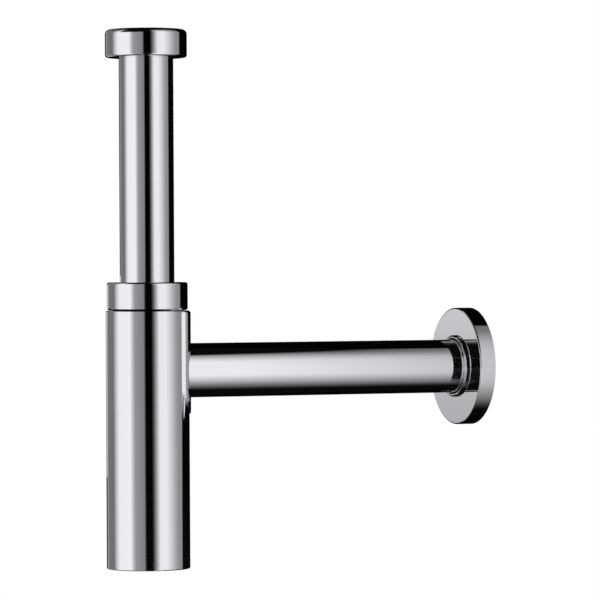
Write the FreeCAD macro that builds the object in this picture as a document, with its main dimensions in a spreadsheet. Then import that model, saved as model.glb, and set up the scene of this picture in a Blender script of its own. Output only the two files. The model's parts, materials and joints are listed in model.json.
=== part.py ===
import FreeCAD, Part
import math
import os
import re
import Sketcher

# Bottle waste trap with a sliding cover sleeve.
# +X runs along the outlet tube towards the wall, +Z is up, and the origin is
# on the outlet axis in the plane of the wall. Lengths are in millimetres.
# Heights are counted from the outlet axis, and all radii of the upright pieces
# from the trap's own axis, which stands wall_reach in front of the wall.

SIZES = {
    "tube_radius": 16.0,
    "tube_wall": 1.0,
    "tube_clearance": 0.3,
    "fit_gap": 0.05,
    "part_gap": 0.3,
    "wall_reach": 210.0,
    "union_rise": 183.6,
    "union_height": 16.4,
    "union_round": 2.8,
    "union_foot_round": 1.6,
    "union_floor": 3.0,
    "union_wall": 3.0,
    "union_thread_step": 1.6,
    "union_thread_length": 7.1,
    "collar_width": 3.4,
    "collar_thickness": 2.0,
    "slip_ring_thickness": 1.2,
    "washer_thickness": 3.0,
    "washer_setback": 0.4,
    "inlet_overlap": 30.0,
    "cap_wall": 2.25,
    "cap_height": 16.4,
    "cap_round": 1.4,
    "cap_bevel": 1.0,
    "cap_floor": 4.3,
    "dip_wall": 1.2,
    "dip_side_gap": 0.45,
    "dip_tail_step": 2.0,
    "dip_wide_bottom": 2.0,
    "dip_taper": 5.0,
    "dip_depth": 85.0,
    "dip_flange_height": 5.5,
    "cone_depth": 3.5,
    "cone_slope": 1.8,
    "cone_lip": 0.65,
    "seal_land": 2.7,
    "ledge_width": 1.6,
    "ledge_thickness": 6.0,
    "neck_wall": 1.6,
    "neck_length": 11.0,
    "neck_ledge": 8.0,
    "shoulder_drop": 0.3,
    "shoulder_width": 1.3,
    "body_wall": 2.2,
    "body_bottom": 46.0,
    "cup_thread_step": 1.3,
    "cup_thread_wall": 1.8,
    "cup_thread_length": 16.0,
    "spigot_gap": 0.15,
    "spigot_wall": 2.35,
    "spigot_reach": 46.0,
    "spigot_bevel": 0.8,
    "spigot_groove_slack": 0.04,
    "spigot_groove_width": 1.9,
    "spigot_groove_setback": 15.0,
    "spigot_groove_pitch": 7.0,
    "spigot_ring_section": 0.78,
    "grip_ring_section": 0.9,
    "grip_groove_width": 2.2,
    "grip_ring_drop": 5.0,
    "sleeve_space": 1.0,
    "sleeve_wall": 1.0,
    "sleeve_top": 35.3,
    "sleeve_bottom": 115.8,
    "sleeve_round": 0.6,
    "sleeve_bevel": 0.3,
    "joint_gap": 0.3,
    "shield_proud": 0.9,
    "shield_border": 1.95,
    "shield_drop": 11.0,
    "shield_bevel": 1.0,
    "shield_corner": 1.5,
    "shield_side_gap": 2.4,
    "shield_flange_thickness": 0.4,
    "shield_flange_overlap": 1.6,
    "shield_hole_gap": 0.15,
    "gasket_thickness": 2.0,
    "gasket_setback": 0.2,
    "cup_collar_gap": 0.4,
    "cup_collar_height": 15.5,
    "cup_wall": 2.0,
    "cup_floor": 2.5,
    "cup_recess": 3.0,
    "cup_foot_depth": 0.8,
    "cup_foot_width": 4.0,
    "cup_inner_round": 4.0,
    "cup_outer_round": 1.5,
    "cup_ring_lift": 7.4,
    "flute_count": 16,
    "flute_radius": 2.0,
    "flute_depth": 0.7,
    "flute_top_gap": 4.0,
    "flute_length": 30.0,
    "rosette_radius": 35.3,
    "rosette_depth": 10.0,
    "rosette_skin": 1.2,
    "rosette_round": 0.8,
    "rosette_bore_gap": 0.4,
    "lip_width": 2.3,
    "lip_height": 1.6,
    "lip_round": 0.5,
    "rosette_neck_wall": 1.45,
    "rosette_neck_back": 2.0,
    "rosette_ring_section": 0.8,
    "rosette_groove_slack": 0.1,
}

doc = FreeCAD.newDocument("waste_trap")
sheet = doc.addObject("Spreadsheet::Sheet", "Sizes")
for row, (alias, value) in enumerate(SIZES.items(), start=1):
    sheet.set(f"A{row}", alias.replace("_", " "))
    sheet.set(f"B{row}", str(value))
    sheet.setAlias(f"B{row}", alias)
doc.recompute()

TUBE_BORE = "(tube_radius - tube_wall)"
SLIDE_HOLE = "(tube_radius + tube_clearance)"

COLLAR_RADIUS = "(tube_radius + collar_width)"
UNION_THREAD = f"({COLLAR_RADIUS} + union_thread_step)"
UNION_RADIUS = f"({UNION_THREAD} + union_wall)"
SLIP_LEVEL = "(union_rise + union_floor)"
COLLAR_LEVEL = f"({SLIP_LEVEL} + slip_ring_thickness)"
WASHER_LEVEL = f"({COLLAR_LEVEL} + collar_thickness)"

DIP_BORE = f"({SLIDE_HOLE} + fit_gap)"
DIP_OUTSIDE = f"({DIP_BORE} + dip_wall)"
DIP_TAIL = "(tube_radius - dip_tail_step)"
LEDGE_BORE = f"({DIP_OUTSIDE} + dip_side_gap)"
NECK_BORE = f"({LEDGE_BORE} + ledge_width)"
NECK_RADIUS = f"({NECK_BORE} + neck_wall)"
SHOULDER_LEVEL = "(sleeve_top - shoulder_drop)"
NECK_TOP = f"({SHOULDER_LEVEL} + neck_length)"
LEDGE_LEVEL = f"({NECK_TOP} - neck_ledge)"
DIP_TOP = f"({LEDGE_LEVEL} + dip_flange_height)"
DIP_FLANGE = f"({NECK_BORE} - tube_clearance + fit_gap)"
CONE_MOUTH = f"({DIP_FLANGE} - cone_lip)"
CONE_FOOT = f"({DIP_TOP} - cone_depth)"

CAP_BORE = f"({NECK_RADIUS} + part_gap)"
CAP_RADIUS = f"({CAP_BORE} + cap_wall)"
CAP_LEVEL = "(sleeve_top + joint_gap)"
CAP_FLOOR_LEVEL = f"({CAP_LEVEL} + cap_height - cap_floor)"

BODY_RADIUS = f"({NECK_RADIUS} + shoulder_width)"
BODY_BORE = f"({BODY_RADIUS} - body_wall)"
CUP_THREAD = f"({BODY_RADIUS} - cup_thread_step)"
CUP_THREAD_BORE = f"({CUP_THREAD} - cup_thread_wall)"
SPIGOT_RADIUS = f"({TUBE_BORE} - spigot_gap)"
SPIGOT_BORE = f"({SPIGOT_RADIUS} - spigot_wall)"
SPIGOT_RING_OUTSIDE = f"({TUBE_BORE} - fit_gap)"

SLEEVE_BORE = f"({BODY_RADIUS} + sleeve_space)"
SLEEVE_RADIUS = f"({SLEEVE_BORE} + sleeve_wall)"
GRIP_RING_OUTSIDE = f"({SLEEVE_BORE} - fit_gap)"

SHIELD_HOLE = "(tube_radius + shield_hole_gap)"
SHIELD_HALF_WIDTH = f"({SHIELD_HOLE} + shield_border)"
SHIELD_BOTTOM = "(tube_radius + shield_drop)"
SHIELD_SEAT = f"({BODY_RADIUS} + fit_gap)"
SHIELD_RADIUS = f"({SLEEVE_RADIUS} + shield_proud)"
SHIELD_FLANGE = f"({SHIELD_SEAT} + shield_flange_thickness)"
SLOT_HALF_WIDTH = f"({SHIELD_HALF_WIDTH} + shield_side_gap)"
SLOT_BOTTOM = f"({SHIELD_BOTTOM} + shield_side_gap)"
FLANGE_BOTTOM = f"({SLOT_BOTTOM} + shield_flange_overlap)"
GRIP_RING_LEVEL = f"(-{FLANGE_BOTTOM} - grip_ring_drop)"

CUP_RIM = "(body_bottom + gasket_thickness)"
CUP_COLLAR_RADIUS = f"({SLEEVE_BORE} - cup_collar_gap)"
CUP_COLLAR_BORE = f"({CUP_THREAD} + part_gap)"
CUP_RADIUS = BODY_RADIUS
CUP_BORE = f"({CUP_RADIUS} - cup_wall)"
CUP_BASE = "(sleeve_bottom - cup_recess)"
CUP_RING_LEVEL = f"(-{CUP_BASE} + cup_ring_lift)"

ROSETTE_HOLE = "(tube_radius + rosette_bore_gap)"
ROSETTE_RING_OUTSIDE = "(tube_radius + fit_gap + 2 * rosette_ring_section)"
ROSETTE_GROOVE_FLOOR = f"({ROSETTE_RING_OUTSIDE} + rosette_groove_slack)"
ROSETTE_NECK_RADIUS = f"({ROSETTE_GROOVE_FLOOR} + rosette_neck_wall)"
ROSETTE_RING_PLACE = "(-(rosette_depth - rosette_skin + rosette_neck_back) / 2)"


def from_sheet(text):
    """Write a sum of size names as an expression on the sheet's cells."""
    return re.sub(r"\b[a-z]\w*\b(?!\()", r"Sizes.\g<0>", text)


def number(text):
    """Work a sum of size names out to a plain number."""
    result = sheet.evalExpression(from_sheet(text))
    return float(getattr(result, "Value", result))


def bind(item, settings):
    """Tie properties of an object to sums of size names."""
    for prop, text in settings.items():
        item.setExpression(prop, from_sheet(text))


def new_body(label, on_trap_axis=True):
    """Start a sub-part, standing on the trap's axis or lying at the wall."""
    body = doc.addObject("PartDesign::Body", label)
    body.Label = label
    if on_trap_axis:
        bind(body, {"Placement.Base.x": "-wall_reach"})
    return body


def origin_part(body, role):
    """Find an axis or plane of the body's own origin."""
    return next(item for item in body.Origin.OriginFeatures if item.Role == role)


def new_sketch(body, name, plane):
    """Start a sketch on one of the body's origin planes."""
    sketch = body.newObject("Sketcher::SketchObject", name)
    sketch.AttachmentSupport = [(origin_part(body, plane), "")]
    sketch.MapMode = "FlatFace"
    return sketch


def pin_point(sketch, geometry, end, point):
    """Hold one end of an edge at a place given by two sums of sizes."""
    for letter, text in zip("XY", point):
        index = sketch.addConstraint(
            Sketcher.Constraint(f"Distance{letter}", -1, 1, geometry, end, number(text)))
        name = f"{letter.lower()}_{geometry}_{end}"
        sketch.renameConstraint(index, name)
        bind(sketch, {f"Constraints.{name}": text})


def vector(point):
    """The point of two sums of sizes as a vector in the sketch's plane."""
    return FreeCAD.Vector(number(point[0]), number(point[1]), 0)


def outline(body, name, points, plane="XZ_Plane"):
    """Sketch a closed outline of straight edges through the given points."""
    sketch = new_sketch(body, name, plane)
    count = len(points)
    for start, stop in zip(points, points[1:] + points[:1]):
        sketch.addGeometry(Part.LineSegment(vector(start), vector(stop)), False)
    for edge in range(count):
        sketch.addConstraint(Sketcher.Constraint("Coincident", edge, 2, (edge + 1) % count, 1))
    for edge, point in enumerate(points):
        pin_point(sketch, edge, 1, point)
    return sketch


def arch(body, name, half_width, bottom, top):
    """Sketch a U: a half circle at the bottom, straight sides and a flat top."""
    centre = ("0", f"{half_width} - {bottom}")
    left = (f"-{half_width}", centre[1])
    right = (half_width, centre[1])
    corners = (half_width, top), (f"-{half_width}", top)
    sketch = new_sketch(body, name, "YZ_Plane")
    circle = Part.Circle(vector(centre), FreeCAD.Vector(0, 0, 1), number(half_width))
    sketch.addGeometry(Part.ArcOfCircle(circle, math.pi, 2 * math.pi), False)
    sketch.addGeometry(Part.LineSegment(vector(right), vector(corners[0])), False)
    sketch.addGeometry(Part.LineSegment(vector(corners[0]), vector(corners[1])), False)
    sketch.addGeometry(Part.LineSegment(vector(corners[1]), vector(left)), False)
    for first, second in ((0, 1), (1, 2), (2, 3), (3, 0)):
        sketch.addConstraint(Sketcher.Constraint("Coincident", first, 2, second, 1))
    pin_point(sketch, 0, 3, centre)
    pin_point(sketch, 1, 1, right)
    pin_point(sketch, 2, 1, corners[0])
    pin_point(sketch, 3, 1, corners[1])
    sketch.addConstraint(Sketcher.Constraint("Horizontal", 0, 1, 0, 3))
    return sketch


def turn(body, name, sketch, axis="Z_Axis", cut=False):
    """Turn a sketch all the way round an axis, as material or as a cut."""
    kind = "PartDesign::Groove" if cut else "PartDesign::Revolution"
    feature = body.newObject(kind, name)
    feature.Profile = sketch
    feature.ReferenceAxis = (origin_part(body, axis), [""])
    feature.Angle = 360
    doc.recompute()
    return feature


def extrude(body, name, sketch, length, cut=False, reverse=False):
    """Push a sketch out along its normal, or cut with it."""
    feature = body.newObject("PartDesign::Pocket" if cut else "PartDesign::Pad", name)
    feature.Profile = sketch
    feature.Reversed = reverse
    bind(feature, {"Length": length})
    doc.recompute()
    return feature


def disc(body, name, radius, plane="YZ_Plane"):
    """Sketch a circle about the origin of the plane."""
    sketch = new_sketch(body, name, plane)
    sketch.addGeometry(
        Part.Circle(FreeCAD.Vector(0, 0, 0), FreeCAD.Vector(0, 0, 1), number(radius)), False)
    sketch.addConstraint(Sketcher.Constraint("Coincident", 0, 3, -1, 1))
    index = sketch.addConstraint(Sketcher.Constraint("Radius", 0, number(radius)))
    sketch.renameConstraint(index, "radius")
    bind(sketch, {"Constraints.radius": radius})
    return sketch


def ring_edges(body, radius, place, along="z"):
    """Names of the circular edges of one radius at one place along an axis."""
    found = []
    for index, edge in enumerate(body.Tip.Shape.Edges, start=1):
        if not isinstance(edge.Curve, Part.Circle):
            continue
        centre = getattr(edge.Curve.Center, along)
        if abs(edge.Curve.Radius - number(radius)) < 1e-4 and abs(centre - number(place)) < 1e-4:
            found.append(f"Edge{index}")
    return found


def dress(body, name, edges, size, bevel=False):
    """Round or bevel named edges of the body's last feature."""
    base = body.Tip
    feature = body.newObject("PartDesign::Chamfer" if bevel else "PartDesign::Fillet", name)
    feature.Base = (base, edges)
    bind(feature, {"Size" if bevel else "Radius": size})
    doc.recompute()
    return feature


def union_nut():
    """Round nut that clamps the inlet tube's collar under the basin waste."""
    nut = new_body("basin_union_nut")
    top = "(union_rise + union_height)"
    thread_start = f"{top} - union_thread_length"
    seat = f"({COLLAR_RADIUS} + part_gap)"
    turn(nut, "union_turning", outline(nut, "union_section", [
        (SLIDE_HOLE, "union_rise"),
        (UNION_RADIUS, "union_rise"),
        (UNION_RADIUS, top),
        (UNION_THREAD, top),
        (UNION_THREAD, thread_start),
        (seat, thread_start),
        (seat, SLIP_LEVEL),
        (SLIDE_HOLE, SLIP_LEVEL),
    ]))
    dress(nut, "union_top_round", ring_edges(nut, UNION_RADIUS, top), "union_round")
    dress(nut, "union_foot_round", ring_edges(nut, UNION_RADIUS, "union_rise"), "union_foot_round")
    return nut


def slip_ring(label, level, outer, thickness):
    """Hard plastic ring that lets a nut turn without dragging the rubber."""
    ring = new_body(label)
    turn(ring, f"{label}_turning", outline(ring, f"{label}_section", [
        (SLIDE_HOLE, level),
        (outer, level),
        (outer, f"{level} + {thickness}"),
        (SLIDE_HOLE, f"{level} + {thickness}"),
    ]))
    return ring


def inlet_tube():
    """Upright tube with the collar that the union nut pulls against the waste."""
    tube = new_body("inlet_tube")
    foot = f"{NECK_TOP} - inlet_overlap"
    turn(tube, "inlet_turning", outline(tube, "inlet_section", [
        (TUBE_BORE, foot),
        ("tube_radius", foot),
        ("tube_radius", COLLAR_LEVEL),
        (COLLAR_RADIUS, COLLAR_LEVEL),
        (COLLAR_RADIUS, WASHER_LEVEL),
        (TUBE_BORE, WASHER_LEVEL),
    ]))
    return tube


def basin_washer():
    """Flat rubber washer on the collar."""
    washer = new_body("basin_washer")
    bore = f"{TUBE_BORE} + washer_setback"
    top = f"{WASHER_LEVEL} + washer_thickness"
    turn(washer, "washer_turning", outline(washer, "washer_section", [
        (bore, WASHER_LEVEL),
        (COLLAR_RADIUS, WASHER_LEVEL),
        (COLLAR_RADIUS, top),
        (bore, top),
    ]))
    return washer


def cap_nut():
    """Round nut on the trap's neck, which squeezes the cone seal on the inlet tube."""
    nut = new_body("cap_nut")
    top = f"({CAP_LEVEL} + cap_height)"
    turn(nut, "cap_turning", outline(nut, "cap_section", [
        (CAP_BORE, CAP_LEVEL),
        (CAP_RADIUS, CAP_LEVEL),
        (CAP_RADIUS, top),
        (SLIDE_HOLE, top),
        (SLIDE_HOLE, CAP_FLOOR_LEVEL),
        (CAP_BORE, CAP_FLOOR_LEVEL),
    ]))
    dress(nut, "cap_top_round", ring_edges(nut, CAP_RADIUS, top), "cap_round")
    dress(nut, "cap_foot_bevel", ring_edges(nut, CAP_RADIUS, CAP_LEVEL), "cap_bevel", True)
    return nut


def inlet_cone_seal():
    """Rubber ring whose cone is pressed into the mouth of the dip tube."""
    seal = new_body("inlet_cone_seal")
    bore = "tube_radius + fit_gap"
    land = f"{NECK_BORE} - part_gap"
    top = f"{DIP_TOP} + seal_land"
    turn(seal, "seal_turning", outline(seal, "seal_section", [
        (bore, CONE_FOOT),
        (f"{CONE_MOUTH} - cone_slope - part_gap", CONE_FOOT),
        (f"{CONE_MOUTH} - part_gap", DIP_TOP),
        (land, DIP_TOP),
        (land, top),
        (bore, top),
    ]))
    return seal


def dip_tube():
    """Plastic tube that hangs in the neck and ends under the water line."""
    tube = new_body("dip_tube")
    taper_foot = "-dip_wide_bottom - dip_taper"
    turn(tube, "dip_turning", outline(tube, "dip_section", [
        (DIP_BORE, "-dip_wide_bottom"),
        (DIP_BORE, f"{CONE_FOOT} - cone_slope"),
        (f"{CONE_MOUTH} - cone_slope", CONE_FOOT),
        (CONE_MOUTH, DIP_TOP),
        (DIP_FLANGE, DIP_TOP),
        (DIP_FLANGE, LEDGE_LEVEL),
        (DIP_OUTSIDE, LEDGE_LEVEL),
        (DIP_OUTSIDE, "-dip_wide_bottom"),
        (DIP_TAIL, taper_foot),
        (DIP_TAIL, "-dip_depth"),
        (f"{DIP_TAIL} - dip_wall", "-dip_depth"),
        (f"{DIP_TAIL} - dip_wall", taper_foot),
    ]))
    return tube


def trap_body():
    """Moulded body: threaded neck, chamber, outlet spigot and thread for the cup."""
    trap = new_body("trap_body")
    thread_foot = "-body_bottom - cup_thread_length"
    ledge_foot = f"({LEDGE_LEVEL} - ledge_thickness)"
    turn(trap, "trap_blank", outline(trap, "trap_outside", [
        ("0", thread_foot),
        (CUP_THREAD, thread_foot),
        (CUP_THREAD, "-body_bottom"),
        (BODY_RADIUS, "-body_bottom"),
        (BODY_RADIUS, SHOULDER_LEVEL),
        (NECK_RADIUS, SHOULDER_LEVEL),
        (NECK_RADIUS, NECK_TOP),
        ("0", NECK_TOP),
    ]))
    extrude(trap, "spigot", disc(trap, "spigot_circle", SPIGOT_RADIUS), "spigot_reach")
    dress(trap, "spigot_lead",
          ring_edges(trap, SPIGOT_RADIUS, "spigot_reach", "x"), "spigot_bevel", True)
    turn(trap, "chamber", outline(trap, "chamber_section", [
        ("0", thread_foot),
        (CUP_THREAD_BORE, thread_foot),
        (CUP_THREAD_BORE, "-body_bottom"),
        (BODY_BORE, f"-body_bottom + {BODY_BORE} - {CUP_THREAD_BORE}"),
        (BODY_BORE, f"{ledge_foot} - {BODY_BORE} + {LEDGE_BORE}"),
        (LEDGE_BORE, ledge_foot),
        (LEDGE_BORE, LEDGE_LEVEL),
        (NECK_BORE, LEDGE_LEVEL),
        (NECK_BORE, NECK_TOP),
        ("0", NECK_TOP),
    ]), cut=True)
    extrude(trap, "spigot_passage", disc(trap, "spigot_bore_circle", SPIGOT_BORE),
            "spigot_reach", cut=True, reverse=True)
    for index in range(2):
        start = f"({spigot_ring_place(index)} - spigot_groove_width / 2)"
        groove_floor = f"{SPIGOT_RING_OUTSIDE} - 2 * spigot_ring_section - spigot_groove_slack"
        turn(trap, f"spigot_groove_{index + 1}", outline(trap, f"spigot_groove_section_{index + 1}", [
            (start, groove_floor),
            (f"{start} + spigot_groove_width", groove_floor),
            (f"{start} + spigot_groove_width", "tube_radius"),
            (start, "tube_radius"),
        ]), axis="X_Axis", cut=True)
    ring_groove(trap, "grip_groove", GRIP_RING_LEVEL, BODY_RADIUS)
    return trap


def spigot_ring_place(index):
    """How far along the spigot one of its two rings sits."""
    return f"(spigot_reach - spigot_groove_setback + {index} * spigot_groove_pitch)"


def ring_groove(body, name, level, outer):
    """Cut a groove round the outside for a ring that rubs inside the sleeve."""
    floor = f"{GRIP_RING_OUTSIDE} - 2 * grip_ring_section - fit_gap"
    turn(body, name, outline(body, f"{name}_section", [
        (floor, f"{level} - grip_groove_width / 2"),
        (f"{outer} + sleeve_wall", f"{level} - grip_groove_width / 2"),
        (f"{outer} + sleeve_wall", f"{level} + grip_groove_width / 2"),
        (floor, f"{level} + grip_groove_width / 2"),
    ]), cut=True)


def round_ring(label, section, outer, place, along_tube=False, at_wall=False):
    """Rubber ring of round section: a torus about the trap's axis or the outlet's."""
    ring = doc.addObject("Part::Torus", label)
    ring.Label = label
    bind(ring, {"Radius1": f"{outer} - {section}", "Radius2": section})
    if along_tube:
        ring.Placement.Rotation = FreeCAD.Rotation(FreeCAD.Vector(0, 1, 0), 90)
        bind(ring, {"Placement.Base.x": place if at_wall else f"{place} - wall_reach"})
    else:
        bind(ring, {"Placement.Base.x": "-wall_reach", "Placement.Base.z": place})
    return ring


def outlet_shield():
    """Plate bent round the body that fills the sleeve's slot about the outlet tube."""
    shield = new_body("outlet_shield")
    beyond = f"({SLEEVE_RADIUS} + tube_radius)"
    extrude(shield, "plate_blank",
            arch(shield, "plate_outline", SHIELD_HALF_WIDTH, SHIELD_BOTTOM, "sleeve_top"), beyond)
    dress(shield, "plate_corners", top_corners(shield), "shield_corner")
    turn(shield, "plate_outside",
         shell_section(shield, "plate_outside_section", SHIELD_RADIUS, f"2 * {beyond}"), cut=True)
    dress(shield, "plate_bevel", plate_rim(shield), "shield_bevel", True)
    turn(shield, "plate_inside",
         shell_section(shield, "plate_inside_section", "0", SHIELD_SEAT), cut=True)
    flange_half = f"({SLOT_HALF_WIDTH} + shield_flange_overlap)"
    flange = turn(shield, "flange", outline(shield, "flange_section", [
        (SHIELD_SEAT, f"-{FLANGE_BOTTOM}"),
        (SHIELD_FLANGE, f"-{FLANGE_BOTTOM}"),
        (SHIELD_FLANGE, SHOULDER_LEVEL),
        (SHIELD_SEAT, SHOULDER_LEVEL),
    ]))
    flange.Midplane = True
    bind(flange, {"Angle": f"2 * asin({flange_half} / {SHIELD_FLANGE})"})
    doc.recompute()
    hole = disc(shield, "tube_hole_circle", SHIELD_HOLE)
    extrude(shield, "tube_hole", hole, beyond, cut=True, reverse=True)
    return shield


def top_corners(shield):
    """Edges at the two upper corners of the plate's outline."""
    found = []
    for index, edge in enumerate(shield.Tip.Shape.Edges, start=1):
        ends = [edge.valueAt(edge.FirstParameter), edge.valueAt(edge.LastParameter)]
        if all(abs(abs(end.y) - number(SHIELD_HALF_WIDTH)) < 1e-4
               and abs(end.z - number("sleeve_top")) < 1e-4 for end in ends):
            if abs(ends[0].y - ends[1].y) < 1e-4:
                found.append(f"Edge{index}")
    return found


def shell_section(body, name, inner, outer):
    """Section of an upright shell taller than the shield, for cutting it to a radius."""
    low = f"-{FLANGE_BOTTOM} - tube_radius"
    high = "sleeve_top + tube_radius"
    return outline(body, name, [(inner, low), (outer, low), (outer, high), (inner, high)])


def plate_rim(shield):
    """Edges of the plate that lie on its own outer radius."""
    found = []
    for index, edge in enumerate(shield.Tip.Shape.Edges, start=1):
        middle = edge.valueAt((edge.FirstParameter + edge.LastParameter) / 2)
        if abs((middle.x ** 2 + middle.y ** 2) ** 0.5 - number(SHIELD_RADIUS)) < 1e-3:
            found.append(f"Edge{index}")
    return found


def outlet_tube():
    """Level tube to the wall, with its end shaped to the round of the body."""
    tube = new_body("outlet_tube")
    turn(tube, "outlet_turning", outline(tube, "outlet_section", [
        ("0", TUBE_BORE),
        ("wall_reach", TUBE_BORE),
        ("wall_reach", "tube_radius"),
        ("0", "tube_radius"),
    ]), axis="X_Axis")
    reach = f"{BODY_RADIUS} + fit_gap"
    turn(tube, "saddle_cut", outline(tube, "saddle_section", [
        ("0", "-tube_radius - tube_wall"),
        (reach, "-tube_radius - tube_wall"),
        (reach, "tube_radius + tube_wall"),
        ("0", "tube_radius + tube_wall"),
    ]), cut=True)
    return tube


def cleaning_cup():
    """Cup that screws on under the body and holds the water and the dirt."""
    cup = new_body("cleaning_cup")
    collar_foot = f"(-{CUP_RIM} - cup_collar_height)"
    turn(cup, "cup_turning", outline(cup, "cup_section", [
        ("0", f"-{CUP_BASE} + cup_floor"),
        ("0", f"-{CUP_BASE} + cup_foot_depth"),
        (f"{CUP_RADIUS} - cup_foot_width", f"-{CUP_BASE} + cup_foot_depth"),
        (f"{CUP_RADIUS} - cup_foot_width", f"-{CUP_BASE}"),
        (CUP_RADIUS, f"-{CUP_BASE}"),
        (CUP_RADIUS, f"{collar_foot} - {CUP_COLLAR_RADIUS} + {CUP_RADIUS}"),
        (CUP_COLLAR_RADIUS, collar_foot),
        (CUP_COLLAR_RADIUS, f"-{CUP_RIM}"),
        (CUP_COLLAR_BORE, f"-{CUP_RIM}"),
        (CUP_COLLAR_BORE, f"{collar_foot}"),
        (CUP_BORE, f"{collar_foot}"),
        (CUP_BORE, f"-{CUP_BASE} + cup_floor"),
    ]))
    dress(cup, "cup_inner_round",
          ring_edges(cup, CUP_BORE, f"-{CUP_BASE} + cup_floor"), "cup_inner_round")
    dress(cup, "cup_outer_round", ring_edges(cup, CUP_RADIUS, f"-{CUP_BASE}"), "cup_outer_round")
    ring_groove(cup, "centering_groove", CUP_RING_LEVEL, CUP_RADIUS)
    flutes(cup, f"({collar_foot} - flute_top_gap)")
    return cup


def flutes(cup, top):
    """Shallow upright finger grooves round the cup."""
    sketch = new_sketch(cup, "flute_circle", "XY_Plane")
    centre = f"{CUP_RADIUS} + flute_radius - flute_depth"
    sketch.addGeometry(
        Part.Circle(vector((centre, "0")), FreeCAD.Vector(0, 0, 1), number("flute_radius")), False)
    pin_point(sketch, 0, 3, (centre, "0"))
    index = sketch.addConstraint(Sketcher.Constraint("Radius", 0, number("flute_radius")))
    sketch.renameConstraint(index, "radius")
    bind(sketch, {"Constraints.radius": "flute_radius", "AttachmentOffset.Base.z": top})
    flute = extrude(cup, "flute", sketch, "flute_length", cut=True)
    ring = cup.newObject("PartDesign::PolarPattern", "flute_ring")
    ring.Originals = [flute]
    ring.Axis = (origin_part(cup, "Z_Axis"), [""])
    ring.Angle = 360
    ring.Occurrences = int(number("flute_count"))
    cup.Tip = ring
    doc.recompute()


def cup_gasket():
    """Flat rubber ring between the body's shoulder and the cup's rim."""
    gasket = new_body("cup_gasket")
    rim = f"{CUP_COLLAR_RADIUS} - gasket_setback"
    turn(gasket, "gasket_turning", outline(gasket, "gasket_section", [
        (CUP_COLLAR_BORE, f"-{CUP_RIM}"),
        (rim, f"-{CUP_RIM}"),
        (rim, "-body_bottom"),
        (CUP_COLLAR_BORE, "-body_bottom"),
    ]))
    return gasket


def cover_sleeve():
    """Bright sleeve that hides the plastic body and slides down off it."""
    sleeve = new_body("cover_sleeve")
    turn(sleeve, "sleeve_turning", outline(sleeve, "sleeve_section", [
        (SLEEVE_BORE, "-sleeve_bottom"),
        (SLEEVE_RADIUS, "-sleeve_bottom"),
        (SLEEVE_RADIUS, "sleeve_top"),
        (SLEEVE_BORE, "sleeve_top"),
    ]))
    dress(sleeve, "sleeve_foot_round",
          ring_edges(sleeve, SLEEVE_RADIUS, "-sleeve_bottom"), "sleeve_round")
    dress(sleeve, "sleeve_top_bevel",
          ring_edges(sleeve, SLEEVE_RADIUS, "sleeve_top"), "sleeve_bevel", True)
    slot = arch(sleeve, "slot_outline", SLOT_HALF_WIDTH, SLOT_BOTTOM, f"sleeve_top + {SLEEVE_RADIUS}")
    extrude(sleeve, "outlet_slot", slot, f"{SLEEVE_RADIUS} + sleeve_wall", cut=True, reverse=True)
    return sleeve


def wall_rosette():
    """Hollow round cover that slides along the outlet tube up to the wall."""
    rosette = new_body("wall_rosette", on_trap_axis=False)
    face = "-rosette_depth"
    back = "-rosette_depth + rosette_skin"
    lip = f"{ROSETTE_HOLE} + lip_width"
    neck_end = "-rosette_neck_back"
    rim_bore = "rosette_radius - rosette_skin"
    turn(rosette, "rosette_turning", outline(rosette, "rosette_section", [
        (f"{face} - lip_height", ROSETTE_HOLE),
        (neck_end, ROSETTE_HOLE),
        (neck_end, ROSETTE_NECK_RADIUS),
        (back, ROSETTE_NECK_RADIUS),
        (back, rim_bore),
        ("0", rim_bore),
        ("0", "rosette_radius"),
        (face, "rosette_radius"),
        (face, lip),
        (f"{face} - lip_height", lip),
    ]), axis="X_Axis")
    dress(rosette, "rosette_round", ring_edges(rosette, "rosette_radius", face, "x"), "rosette_round")
    lip_edges = ring_edges(rosette, lip, f"{face} - lip_height", "x")
    lip_edges += ring_edges(rosette, ROSETTE_HOLE, f"{face} - lip_height", "x")
    dress(rosette, "lip_round", lip_edges, "lip_round")
    groove_half = "(rosette_ring_section + rosette_groove_slack)"
    turn(rosette, "ring_groove", outline(rosette, "ring_groove_section", [
        (f"{ROSETTE_RING_PLACE} - {groove_half}", "tube_radius"),
        (f"{ROSETTE_RING_PLACE} + {groove_half}", "tube_radius"),
        (f"{ROSETTE_RING_PLACE} + {groove_half}", ROSETTE_GROOVE_FLOOR),
        (f"{ROSETTE_RING_PLACE} - {groove_half}", ROSETTE_GROOVE_FLOOR),
    ]), axis="X_Axis", cut=True)
    return rosette


def rubber_rings():
    """The round rubber rings: on the spigot, inside the sleeve and in the rosette."""
    return [
        round_ring("outlet_o_ring_inner", "spigot_ring_section", SPIGOT_RING_OUTSIDE,
                   spigot_ring_place(0), along_tube=True),
        round_ring("outlet_o_ring_outer", "spigot_ring_section", SPIGOT_RING_OUTSIDE,
                   spigot_ring_place(1), along_tube=True),
        round_ring("sleeve_grip_ring", "grip_ring_section", GRIP_RING_OUTSIDE, GRIP_RING_LEVEL),
        round_ring("cup_centering_ring", "grip_ring_section", GRIP_RING_OUTSIDE,
                   CUP_RING_LEVEL),
        round_ring("rosette_o_ring", "rosette_ring_section", ROSETTE_RING_OUTSIDE,
                   ROSETTE_RING_PLACE, along_tube=True, at_wall=True),
    ]


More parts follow.
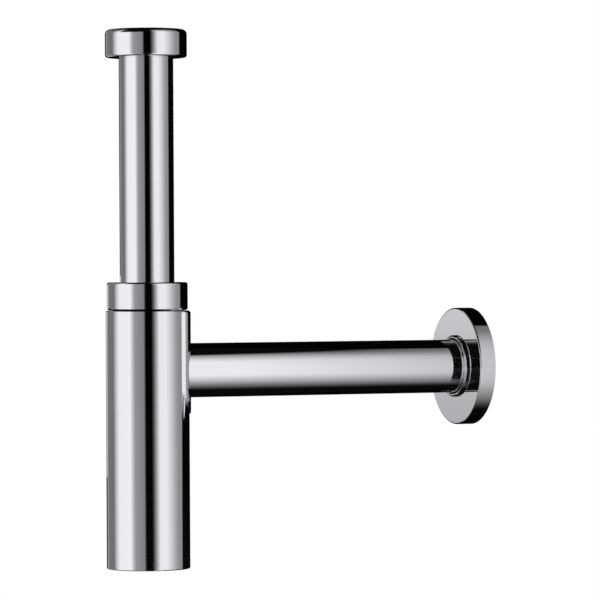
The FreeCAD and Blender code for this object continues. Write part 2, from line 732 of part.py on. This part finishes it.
def check_and_write(pieces):
    """Stop on any failed feature or shape, then write one file for each piece."""
    doc.recompute()
    for item in doc.Objects:
        if "Invalid" in item.State or "Error" in item.State:
            raise RuntimeError(f"{item.Label} failed")
    for piece in pieces:
        if piece.Shape.isNull() or not piece.Shape.isValid():
            raise RuntimeError(f"{piece.Label} has no sound shape")
    os.makedirs("parts", exist_ok=True)
    for piece in pieces:
        piece.Shape.exportStep(f"parts/{piece.Label}.step")


check_and_write([
    union_nut(),
    slip_ring("basin_slip_ring", SLIP_LEVEL, COLLAR_RADIUS, "slip_ring_thickness"),
    inlet_tube(),
    basin_washer(),
    cap_nut(),
    slip_ring("cap_slip_ring", f"({DIP_TOP} + seal_land)", NECK_RADIUS,
              f"({CAP_FLOOR_LEVEL} - {DIP_TOP} - seal_land)"),
    inlet_cone_seal(),
    dip_tube(),
    trap_body(),
    outlet_shield(),
    outlet_tube(),
    cleaning_cup(),
    cup_gasket(),
    cover_sleeve(),
    wall_rosette(),
] + rubber_rings())
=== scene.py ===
import json
import math

import bmesh
import bpy
from mathutils import Matrix, Vector


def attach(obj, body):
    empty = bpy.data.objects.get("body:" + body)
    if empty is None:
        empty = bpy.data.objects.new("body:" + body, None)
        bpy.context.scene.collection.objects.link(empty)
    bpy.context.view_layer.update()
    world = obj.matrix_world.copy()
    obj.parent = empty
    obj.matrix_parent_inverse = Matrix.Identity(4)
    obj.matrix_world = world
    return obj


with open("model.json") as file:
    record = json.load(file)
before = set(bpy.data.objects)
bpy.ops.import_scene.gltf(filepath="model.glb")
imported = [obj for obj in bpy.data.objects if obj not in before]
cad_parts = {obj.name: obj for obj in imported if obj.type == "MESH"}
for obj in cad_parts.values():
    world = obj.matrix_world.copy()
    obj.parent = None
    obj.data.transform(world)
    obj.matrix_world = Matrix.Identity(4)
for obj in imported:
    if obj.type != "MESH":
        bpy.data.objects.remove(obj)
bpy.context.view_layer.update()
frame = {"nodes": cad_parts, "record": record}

# Bright chrome bottle trap in a studio tent. Lengths are in metres.

TRAP_AXIS_X = frame["record"]["mounts"][0]["pos_m"][0]

# Camera.
PHOTO_SIZE = 600
SENSOR = 36.0
FOCAL_PIXELS = 4000.0
CAMERA_PLACE = Vector((-1.06364, -2.18596, 0.06))
CAMERA_YAW = math.radians(23.51817)
CAMERA_PITCH = math.radians(-0.46136)
CAMERA_ROLL = math.radians(-0.29475)
CAMERA_REACH = 50.0

# Threads, which the solids leave plain: for each its piece name, body, slot, pitch,
# wall radius, crest radius, foot level and head level.
THREADS = [
    ("basin_thread", "basin_nut", "chrome", 0.0023, 0.021, 0.0202, 0.1930, 0.1997),
    ("neck_thread", "trap", "body_plastic", 0.0025, 0.0212, 0.02144, 0.0356, 0.0457),
    ("cup_thread", "trap", "body_plastic", 0.004, 0.0212, 0.02144, -0.0616, -0.0485),
]
THREAD_STEPS = 96
# Steps over which a thread rises at its ends, and the least share of its height there.
THREAD_RUN_OUT = THREAD_STEPS / 6
THREAD_LEAST = 0.02
# Half widths at root and crest as shares of the pitch, and how deep the root is sunk
# into the wall as a share of the height.
THREAD_ROOT = 0.4
THREAD_CREST = 0.12
THREAD_SUNK = 0.3

# The bead on the rosette's lip: its foot, its inner and outer radius and its height.
BEAD = (-0.0113, 0.01655, 0.01855, 0.0008)
BEAD_STEPS = 12
BEAD_ROUND = 128

# Share of light that the chrome throws back.
CHROME_GLOSS = 0.92

# The tent stands close round the trap. Its cloth is told by the angle round the
# trap from the camera's side (left negative) and the grey that polished chrome
# shows there: panels and flags one after another.
TENT = [
    (-180, 5), (-150, 5), (-147, 185), (-139, 113), (-107, 111), (-103, 145),
    (-94, 198), (-84, 236), (-48, 239), (-41, 190), (-34, 147), (-10, 126),
    (-6, 4), (12, 3), (17, 84), (24, 157), (32, 231), (50, 235), (68, 198),
    (79, 166), (90, 142), (103, 136), (107, 5), (180, 5),
]
# Share of that light by height, at the near wall's distance, from its foot to its top.
TENT_FADE = [
    (-0.42, 0.54), (-0.28, 0.75), (-0.15, 1.0), (0.27, 1.0), (0.42, 0.76),
    (0.62, 0.45), (0.74, 0.0),
]
NEAR_WALL = 0.45
FAR_WALL = 3.0
NEAR_TOP = 0.76
FAR_TOP = NEAR_TOP * FAR_WALL / NEAR_WALL
# The near wall is open towards the camera, between these angles.
OPENING = (-8.0, 27.0)
# A dark flag hangs high on the left: from one angle to another, its foot and its head.
FLAG_WALL = 0.44
FLAG = (-75.0, 14.0, 0.3, 1.0)
DARK_CLOTH = 0.003
# A card stands behind, where the rosette's face mirrors it, and its grey by height.
CARD_WALL = 0.445
CARD = (-165.0, -147.0, -0.085, 0.055)
CARD_SHADE = [(-0.085, 170), (-0.06, 172), (0.0, 190), (0.03, 200), (0.055, 204)]

# The floor, which runs out into the white of the room between two distances.
FLOOR_DROP = 0.42
FLOOR_RADIUS = 3.4
FLOOR_FADE = (0.7, 3.0)
FLOOR_GREY = 0.94
# How light the floor is in the chrome, by how far it lies behind the outlet tube:
# it is light in front, and dark under the trap and behind it.
FLOOR_SHADE = [
    (-3.4, 0.8), (-0.94, 0.75), (-0.57, 0.62), (-0.35, 0.42), (-0.2, 0.19),
    (-0.07, 0.03), (0.0, 0.003), (3.4, 0.003),
]
# A painted dark stripe in the floor's glow, which only the chrome sees, runs from under the
# trap to the camera.
PAINTED_FLOOR_STRIPE = [(-180, 1.0), (-16, 1.0), (-8, 0.01), (14, 0.01), (24, 1.0), (180, 1.0)]
DISC_SIDES = 96

LAMP_PLACE = Vector((-0.5, -0.7, 3.0))
LAMP_SIZE = 0.3
LAMP_POWER = 38.0
WORLD_FILL = 0.75

# Chrome: roughness and colour by noise, each with its grains per metre, and its ripple.
CHROME_SMEAR = [(0.35, 0.035), (0.7, 0.06)]
SMEAR_GRAINS = 22.0
CHROME_TONE = [(0.3, (0.900, 0.902, 0.942)), (0.7, (0.918, 0.920, 0.958))]
TONE_GRAINS = 9.0
RIPPLE_GRAINS = 60.0
RIPPLE_STRENGTH = 0.02
RIPPLE_DEPTH = 0.0002
# Moulded pieces: for each slot its material, dark and light colour, roughness and
# grains per metre of its skin.
MOULDED = {
    "body_plastic": ("dark_plastic", (0.012, 0.012, 0.013), (0.02, 0.02, 0.022), 0.42, 2600.0),
    "slip_plastic": ("white_plastic", (0.74, 0.74, 0.72), (0.80, 0.80, 0.78), 0.3, 1800.0),
    "rubber": ("black_rubber", (0.008, 0.008, 0.008), (0.016, 0.016, 0.016), 0.62, 3200.0),
}
MOTTLE_GRAINS = 180.0
GLOSS_GRAINS = 90.0
GLOSS_SPREAD = 0.15
SKIN_STRENGTH = 0.25
SKIN_DEPTH = 0.00005


def grey_of(level):
    """Linear light of a grey that is written 0 to 255 on the screen."""
    share = level / 255
    return share / 12.92 if share <= 0.04045 else ((share + 0.055) / 1.055) ** 2.4


def mirrored_stops(stops):
    """Stops of light whose image in the chrome has the greys that are written."""
    return [(place, grey_of(grey) / CHROME_GLOSS) for place, grey in stops]


def plain_colour(grey):
    """Colour of one grey, for a socket."""
    return grey, grey, grey, 1.0


class Graph:
    """Adds nodes to a tree and links their sockets."""

    def __init__(self, tree):
        self.tree = tree

    def add(self, kind, **settings):
        """New node with its settings."""
        node = self.tree.nodes.new(kind)
        for key, value in settings.items():
            setattr(node, key, value)
        return node

    def feed(self, node, **inputs):
        """Set or link a node's inputs, by name with _ for a space, or by number as i0."""
        for key, value in inputs.items():
            socket = node.inputs[int(key[1:]) if key[1:].isdigit() else key.replace("_", " ")]
            if isinstance(value, bpy.types.NodeSocket):
                self.tree.links.new(value, socket)
            else:
                socket.default_value = value
        return node

    def math(self, operation, first, second=0.0):
        """Result of a sum on two values."""
        node = self.add("ShaderNodeMath", operation=operation)
        return self.feed(node, i0=first, i1=second).outputs[0]

    def ramp(self, factor, stops):
        """Colour over a factor from 0 to 1, by stops of place and grey or colour."""
        node = self.add("ShaderNodeValToRGB")
        elements = node.color_ramp.elements
        while len(elements) < len(stops):
            elements.new(0.5)
        for element, (place, value) in zip(elements, stops):
            element.position = place
            element.color = (*value, 1.0) if isinstance(value, tuple) else plain_colour(value)
        return self.feed(node, Fac=factor).outputs["Color"]

    def profile(self, value, stops):
        """Grey over any value, by stops of value and grey."""
        low, high = stops[0][0], stops[-1][0]
        return self.ramp(self.share(value, low, high),
                         [((place - low) / (high - low), grey) for place, grey in stops])

    def share(self, value, low, high, interpolation="LINEAR"):
        """How far a value lies from a low to a high one, as 0 to 1."""
        node = self.add("ShaderNodeMapRange", interpolation_type=interpolation)
        return self.feed(node, Value=value, From_Min=low, From_Max=high).outputs[0]

    def round_profile(self, split, stops):
        """Grey by the angle round the trap from the camera's side, in degrees."""
        east = self.math("SUBTRACT", split.outputs["X"], TRAP_AXIS_X)
        bearing = self.math("ARCTAN2", split.outputs["Y"], east)
        turned = self.math("SUBTRACT", bearing, camera_side())
        share = self.math("FRACT", self.math("ADD", self.math("DIVIDE", turned, math.tau), 1.5))
        return self.ramp(share, [((angle + 180) / 360, grey) for angle, grey in stops])

    def times(self, first, second):
        """Product of two colours."""
        node = self.add("ShaderNodeMix", data_type="RGBA", blend_type="MULTIPLY")
        return self.feed(node, i0=1.0, i6=first, i7=second).outputs[2]

    def either(self, factor, first, second):
        """Mix of two shaders."""
        node = self.add("ShaderNodeMixShader")
        return self.feed(node, Fac=factor, i1=first, i2=second).outputs[0]

    def light(self, colour):
        """Shader that only gives light."""
        return self.feed(self.add("ShaderNodeEmission"), Color=colour, Strength=1.0).outputs[0]

    def place(self):
        """The point on the surface, as a vector and split in three."""
        point = self.add("ShaderNodeNewGeometry").outputs["Position"]
        return point, self.feed(self.add("ShaderNodeSeparateXYZ"), Vector=point)

    def grain(self, grains, detail=3.0):
        """Noise on the object's own coordinates, in grains per metre."""
        point = self.add("ShaderNodeTexCoord").outputs["Object"]
        return self.feed(self.add("ShaderNodeTexNoise"), Vector=point, Scale=grains,
                         Detail=detail, Roughness=0.6).outputs["Fac"]

    def bump(self, strength, depth, height):
        """Normal of a surface with a fine relief."""
        return self.feed(self.add("ShaderNodeBump"), Strength=strength, Distance=depth,
                         Height=height).outputs[0]

    def surface(self, shader):
        """End of a material."""
        self.feed(self.add("ShaderNodeOutputMaterial"), Surface=shader)


def new_material(name):
    """Empty node material with a helper to add and link nodes."""
    material = bpy.data.materials.new(name)
    material.use_nodes = True
    material.node_tree.nodes.clear()
    return material, Graph(material.node_tree)


def make_camera():
    """Camera at the photograph's place, turned as it is there."""
    forward = Vector((math.sin(CAMERA_YAW) * math.cos(CAMERA_PITCH),
                      math.cos(CAMERA_YAW) * math.cos(CAMERA_PITCH),
                      math.sin(CAMERA_PITCH)))
    right = Vector((math.cos(CAMERA_YAW), -math.sin(CAMERA_YAW), 0.0))
    up = right.cross(forward)
    side = right * math.cos(CAMERA_ROLL) + up * math.sin(CAMERA_ROLL)
    top = up * math.cos(CAMERA_ROLL) - right * math.sin(CAMERA_ROLL)
    camera = bpy.data.objects.new("camera", bpy.data.cameras.new("camera"))
    camera.matrix_world = Matrix.Translation(CAMERA_PLACE) @ Matrix(
        (side, top, -forward)).transposed().to_4x4()
    camera.data.sensor_width = SENSOR
    camera.data.lens = FOCAL_PIXELS * SENSOR / PHOTO_SIZE
    camera.data.clip_end = CAMERA_REACH
    bpy.context.scene.collection.objects.link(camera)
    bpy.context.scene.camera = camera


def camera_side():
    """Bearing of the camera from the trap's axis."""
    return math.atan2(CAMERA_PLACE.y, CAMERA_PLACE.x - TRAP_AXIS_X)


def tent_material():
    """Cloth of the tent: light panels and dark flags, one after another round the trap."""
    material, graph = new_material("tent_cloth")
    split = graph.place()[1]
    panels = graph.round_profile(split, mirrored_stops(TENT))
    east = graph.math("SUBTRACT", split.outputs["X"], TRAP_AXIS_X)
    away = graph.math("SQRT", graph.math("ADD", graph.math("MULTIPLY", east, east),
                                         graph.math("POWER", split.outputs["Y"], 2.0)))
    rise = graph.math("DIVIDE", graph.math("MULTIPLY", split.outputs["Z"], NEAR_WALL), away)
    graph.surface(graph.light(graph.times(panels, graph.profile(rise, TENT_FADE))))
    return material


def card_material():
    """Card that gives less light towards its foot."""
    material, graph = new_material("card")
    level = graph.place()[1].outputs["Z"]
    graph.surface(graph.light(graph.profile(level, mirrored_stops(CARD_SHADE))))
    return material


def dark_material():
    """Dark cloth of the tent's top and flag."""
    material, graph = new_material("dark_cloth")
    graph.surface(graph.light(plain_colour(DARK_CLOTH)))
    return material


def floor_material():
    """Pale matt floor; to the chrome it glows with painted light, lighter in front and dark
    behind.
    """
    material, graph = new_material("pale_floor")
    point, split = graph.place()
    # Painted light and shade: for glossy rays only, the floor glows lighter in front, dark
    # under and behind the trap, and dark in a stripe towards the camera.
    lengthwise = graph.profile(split.outputs["Y"], FLOOR_SHADE)
    mirrored = graph.light(graph.times(lengthwise, graph.round_profile(split, PAINTED_FLOOR_STRIPE)))
    matt = graph.feed(graph.add("ShaderNodeBsdfDiffuse"), Color=plain_colour(FLOOR_GREY),
                      Roughness=0.0).outputs[0]
    away = graph.feed(graph.add("ShaderNodeVectorMath", operation="DISTANCE"),
                      i0=point, i1=(TRAP_AXIS_X, 0, -FLOOR_DROP)).outputs["Value"]
    fade = graph.share(away, *FLOOR_FADE, "SMOOTHSTEP")
    plain = graph.either(fade, matt, graph.light(plain_colour(1.0)))
    glossy = graph.add("ShaderNodeLightPath").outputs["Is Glossy Ray"]
    graph.surface(graph.either(glossy, plain, mirrored))
    return material


def link_mesh(name, mesh_data, material, smooth=False):
    """Put a mesh into the scene with its material."""
    mesh = bpy.data.meshes.new(name)
    mesh_data.to_mesh(mesh)
    mesh_data.free()
    mesh.materials.append(material)
    if smooth:
        mesh.shade_smooth()
    item = bpy.data.objects.new(name, mesh)
    bpy.context.scene.collection.objects.link(item)
    return item


def disc_mesh(radius, height):
    """Round sheet about the trap's axis."""
    shape = bmesh.new()
    centre = Matrix.Translation((TRAP_AXIS_X, 0, height))
    bmesh.ops.create_circle(shape, cap_ends=True, radius=radius, segments=DISC_SIDES,
                            matrix=centre)
    return shape


def wall_mesh(radius, start, end, foot_level, head_level):
    """Upright cloth round the trap's axis, between two angles from the camera's side."""
    shape = bmesh.new()
    steps = math.ceil(end - start)
    pairs = []
    for step in range(steps + 1):
        bearing = camera_side() + math.radians(start + (end - start) * step / steps)
        east, north = radius * math.cos(bearing), radius * math.sin(bearing)
        pairs.append([shape.verts.new((TRAP_AXIS_X + east, north, level))
                      for level in (foot_level, head_level)])
    for (foot, head), (next_foot, next_head) in zip(pairs, pairs[1:]):
        shape.faces.new((foot, next_foot, next_head, head))
    return shape


def make_room():
    """Pale floor, tent walls and dark top. Only the floor is there for the camera."""
    floor = link_mesh("floor", disc_mesh(FLOOR_RADIUS, -FLOOR_DROP), floor_material())
    cloth = tent_material()
    dark = dark_material()
    near_arc = (OPENING[1], 360.0 + OPENING[0])
    tent = [
        link_mesh("tent_top", disc_mesh(FAR_WALL, FAR_TOP), dark),
        link_mesh("near_wall", wall_mesh(NEAR_WALL, *near_arc, -FLOOR_DROP, NEAR_TOP), cloth),
        link_mesh("far_wall", wall_mesh(FAR_WALL, 0.0, 360.0, -FLOOR_DROP, FAR_TOP), cloth),
        link_mesh("flag", wall_mesh(FLAG_WALL, *FLAG), dark),
        link_mesh("card", wall_mesh(CARD_WALL, *CARD), card_material()),
    ]
    for item in tent:
        item.visible_camera = False
        item.visible_diffuse = False
        item.visible_shadow = False


def make_lamp():
    """Soft overhead lamp, which lights the floor and the plastic but isn't mirrored."""
    lamp = bpy.data.lights.new("soft_lamp", "AREA")
    lamp.shape = "DISK"
    lamp.size = LAMP_SIZE
    lamp.energy = LAMP_POWER
    item = bpy.data.objects.new("soft_lamp", lamp)
    item.location = LAMP_PLACE
    aim = Vector((TRAP_AXIS_X, 0, 0)) - LAMP_PLACE
    item.rotation_euler = aim.to_track_quat("-Z", "Y").to_euler()
    item.visible_camera = False
    item.visible_glossy = False
    bpy.context.scene.collection.objects.link(item)


def make_world():
    """White room light: full white behind the object and in what it mirrors."""
    world = bpy.data.worlds.new("studio")
    bpy.context.scene.world = world
    world.use_nodes = True
    world.node_tree.nodes.clear()
    graph = Graph(world.node_tree)
    rays = graph.add("ShaderNodeLightPath").outputs
    seen = graph.math("MAXIMUM", rays["Is Camera Ray"],
                      graph.math("MAXIMUM", rays["Is Glossy Ray"], rays["Is Transmission Ray"]))
    fill, white = [graph.feed(graph.add("ShaderNodeBackground"), Color=plain_colour(1.0),
                              Strength=strength).outputs[0] for strength in (WORLD_FILL, 1.0)]
    graph.feed(graph.add("ShaderNodeOutputWorld"), Surface=graph.either(seen, fill, white))


def chrome_material():
    """Polished chrome plate: a mirror with the faintest smears and ripple."""
    material, graph = new_material("polished_chrome")
    ripple = graph.bump(RIPPLE_STRENGTH, RIPPLE_DEPTH, graph.grain(RIPPLE_GRAINS, detail=1.0))
    shader = graph.feed(graph.add("ShaderNodeBsdfPrincipled"), Metallic=1.0, Normal=ripple,
                        Base_Color=graph.ramp(graph.grain(TONE_GRAINS), CHROME_TONE),
                        Roughness=graph.ramp(graph.grain(SMEAR_GRAINS), CHROME_SMEAR))
    graph.surface(shader.outputs[0])
    return material


def moulded_material(name, dark, light, roughness, skin_grains):
    """Moulded plastic or rubber: fine grain, a little mottled in colour and gloss."""
    material, graph = new_material(name)
    colour = graph.ramp(graph.grain(MOTTLE_GRAINS), [(0.3, dark), (0.7, light)])
    gloss = graph.ramp(graph.grain(GLOSS_GRAINS), [(0.3, roughness * (1 - GLOSS_SPREAD)),
                                                   (0.7, roughness * (1 + GLOSS_SPREAD))])
    skin = graph.bump(SKIN_STRENGTH, SKIN_DEPTH, graph.grain(skin_grains, detail=5.0))
    shader = graph.feed(graph.add("ShaderNodeBsdfPrincipled"), Base_Color=colour,
                        Roughness=gloss, Normal=skin)
    graph.surface(shader.outputs[0])
    return material


def make_looks():
    """One material for each slot of the record."""
    looks = {"chrome": chrome_material()}
    looks.update((slot, moulded_material(*recipe)) for slot, recipe in MOULDED.items())
    return looks


def dress_nodes(looks):
    """Give every carried-over piece the material of its slot."""
    for entry in frame["record"]["subparts"]:
        item = frame["nodes"][entry["node"]]
        item.data.materials.clear()
        item.data.materials.append(looks[entry["material_slot"]])


def join_rings(shape, rings, next_rings):
    """Skin each ring of corners to the one that follows it."""
    for ring, next_ring in zip(rings, next_rings):
        for corner in range(len(ring)):
            after = (corner + 1) % len(ring)
            shape.faces.new((ring[corner], ring[after], next_ring[after], next_ring[corner]))


def thread_mesh(pitch, wall, crest, foot, head):
    """Closed helical ridge on a round wall, from a foot level to a head level."""
    shape = bmesh.new()
    half_root, half_crest = pitch * THREAD_ROOT, pitch * THREAD_CREST
    steps = int((head - foot - 2 * half_root) / pitch * THREAD_STEPS)
    seat = wall - (crest - wall) * THREAD_SUNK
    rings = []
    for step in range(steps + 1):
        turned = math.tau * step / THREAD_STEPS
        level = foot + half_root + pitch * step / THREAD_STEPS
        height = min(1.0, step / THREAD_RUN_OUT, (steps - step) / THREAD_RUN_OUT)
        top = wall + (crest - wall) * max(height, THREAD_LEAST)
        section = [(seat, level - half_root), (top, level - half_crest),
                   (top, level + half_crest), (seat, level + half_root)]
        rings.append([shape.verts.new((TRAP_AXIS_X + radius * math.cos(turned),
                                       radius * math.sin(turned), z)) for radius, z in section])
    join_rings(shape, rings, rings[1:])
    shape.faces.new(rings[0])
    shape.faces.new(rings[-1])
    bmesh.ops.recalc_face_normals(shape, faces=shape.faces)
    return shape


def bead_mesh(foot, inner, outer, height):
    """Half-round bead on the front of the rosette's lip, about the outlet tube."""
    shape = bmesh.new()
    middle, half = (inner + outer) / 2, (outer - inner) / 2
    section = [(foot + height, inner), (foot + height, outer)]
    for step in range(BEAD_STEPS + 1):
        turned = math.pi * step / BEAD_STEPS
        section.append((foot - height * math.sin(turned), middle + half * math.cos(turned)))
    rings = []
    for step in range(BEAD_ROUND):
        turned = math.tau * step / BEAD_ROUND
        rings.append([shape.verts.new((x, radius * math.cos(turned), radius * math.sin(turned)))
                      for x, radius in section])
    join_rings(shape, rings, rings[1:] + rings[:1])
    bmesh.ops.recalc_face_normals(shape, faces=shape.faces)
    return shape


def add_piece(name, mesh_data, body, slot, looks, smooth=False):
    """Put a piece on a body, in the material of a slot."""
    piece = link_mesh(name, mesh_data, looks[slot], smooth)
    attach(piece, body)


make_camera()
make_world()
make_room()
make_lamp()
finishes = make_looks()
dress_nodes(finishes)
for thread_name, thread_body, thread_slot, *thread_sizes in THREADS:
    add_piece(thread_name, thread_mesh(*thread_sizes), thread_body, thread_slot, finishes)
add_piece("rosette_bead", bead_mesh(*BEAD), "rosette", "chrome", finishes, smooth=True)
bpy.context.scene.view_settings.view_transform = "Standard"
